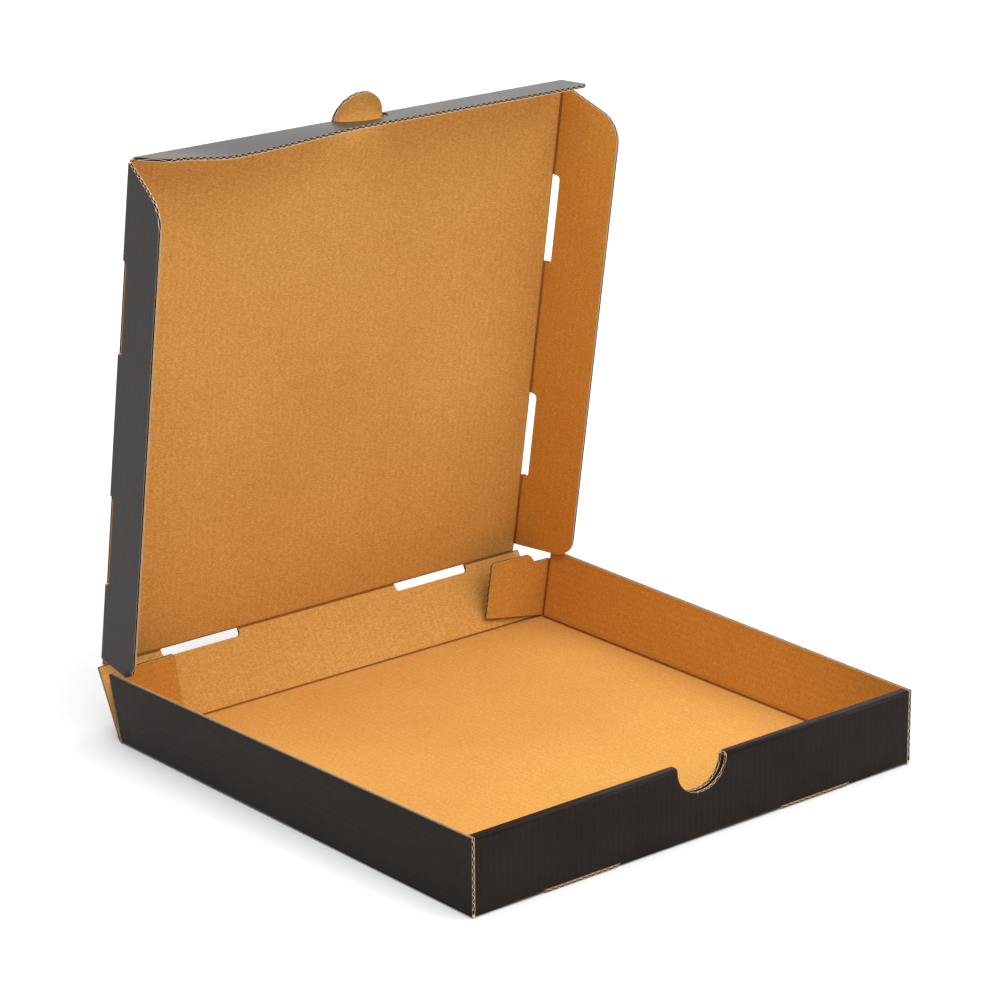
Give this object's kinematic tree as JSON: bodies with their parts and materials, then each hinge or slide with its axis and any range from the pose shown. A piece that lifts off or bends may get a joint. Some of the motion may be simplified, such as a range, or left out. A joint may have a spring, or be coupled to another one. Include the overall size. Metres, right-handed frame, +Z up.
{
  "type": "pizza box",
  "caption": "Square pizza box of folded corrugated board, black outside and kraft inside, with a hinged lid that has tuck-in flaps, a thumb tongue and a finger notch.",
  "frame": {"origin": "centre of the tray floor's underside", "axes": "+X to the right along the front wall, +Y towards the rear wall and lid hinge, +Z up"},
  "size_m": [0.344, 0.3518, 0.3738],
  "materials": {
    "kraft_board": "matte"
  },
  "bodies": {
    "tray": {"tray": "kraft_board"},
    "back_wall": {"back_wall": "kraft_board"},
    "lid_panel": {"lid_panel": "kraft_board"},
    "lid_front_flap": {"lid_front_flap": "kraft_board"},
    "lid_left_flap": {"lid_left_flap": "kraft_board"},
    "lid_right_flap": {"lid_right_flap": "kraft_board"},
    "rear_left_corner_flap": {"rear_left_corner_flap": "kraft_board"},
    "rear_right_corner_flap": {"rear_right_corner_flap": "kraft_board"}
  },
  "joints": [
    {"name": "back_wall_fold", "type": "hinge", "parent": "tray", "child": "back_wall", "pos_m": [0, 0.163, 0.002], "axis": [1, 0, 0], "range_deg": [-16.9, 29.05]},
    {"name": "lid_fold", "type": "hinge", "parent": "back_wall", "child": "lid_panel", "pos_m": [0, 0.18482, 0.04136], "axis": [1, 0, 0], "range_deg": [-30, 52.1]},
    {"name": "front_flap_fold", "type": "hinge", "parent": "lid_panel", "child": "lid_front_flap", "pos_m": [0, 0.13553, 0.35612], "axis": [1, 0, 0], "range_deg": [-9.13, 15.55]},
    {"name": "right_flap_fold", "type": "hinge", "parent": "lid_panel", "child": "lid_right_flap", "pos_m": [0.1591, 0.18482, 0.04136], "axis": [0, 0.1547, -0.988], "range_deg": [-9.13, 15.55]},
    {"name": "left_flap_fold", "type": "hinge", "parent": "lid_panel", "child": "lid_left_flap", "pos_m": [-0.1591, 0.18482, 0.04136], "axis": [0, -0.1547, 0.988], "range_deg": [-8.26, 14.05]},
    {"name": "right_corner_fold", "type": "hinge", "parent": "tray", "child": "rear_right_corner_flap", "pos_m": [0.163, 0.1607, 0], "axis": [0.1504, 0, 0.9886], "range_deg": [-1.93, 3.05]},
    {"name": "left_corner_fold", "type": "hinge", "parent": "tray", "child": "rear_left_corner_flap", "pos_m": [-0.163, 0.1607, 0], "axis": [0.1504, 0, -0.9886], "range_deg": [-1.93, 3.05]}
  ],
  "couplings": [
    {"joint": "back_wall_fold", "follows": "lid_fold", "ratio": 0.55662},
    {"joint": "front_flap_fold", "follows": "lid_fold", "ratio": 0.29751},
    {"joint": "right_flap_fold", "follows": "lid_fold", "ratio": 0.29751},
    {"joint": "left_flap_fold", "follows": "lid_fold", "ratio": 0.26871},
    {"joint": "right_corner_fold", "follows": "lid_fold", "ratio": 0.057582},
    {"joint": "left_corner_fold", "follows": "lid_fold", "ratio": 0.057582}
  ]
}
